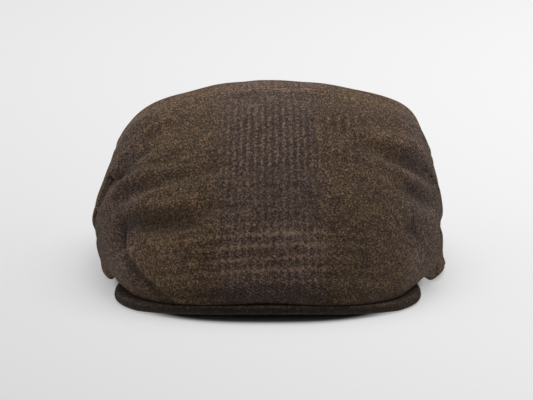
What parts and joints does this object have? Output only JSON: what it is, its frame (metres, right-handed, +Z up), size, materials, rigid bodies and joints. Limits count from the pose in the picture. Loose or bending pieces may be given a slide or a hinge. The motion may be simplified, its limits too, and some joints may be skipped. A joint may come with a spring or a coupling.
{
  "type": "flat cap",
  "caption": "Soft checked wool flat cap with a full crown falling forward over a short covered peak, shown resting as it would on a table.",
  "frame": {"origin": "middle of the cap's outline seen from above, at the level of the surface it rests on", "axes": "+Z up, -Y towards the peak and front, +X to the right of someone facing the front of the cap"},
  "size_m": [0.1916, 0.2474, 0.0998],
  "materials": {
    "top_cloth": "napped wool check in brown, olive and plum",
    "left_side_cloth": "the same napped wool check, cut on its own grain",
    "right_side_cloth": "the same napped wool check, cut on its own grain",
    "peak_cloth": "the same wool stretched over a stiff peak"
  },
  "bodies": {
    "root": {"top_panel": "top_cloth", "left_side_panel": "left_side_cloth", "right_side_panel": "right_side_cloth", "peak": "peak_cloth"}
  },
  "joints": []
}
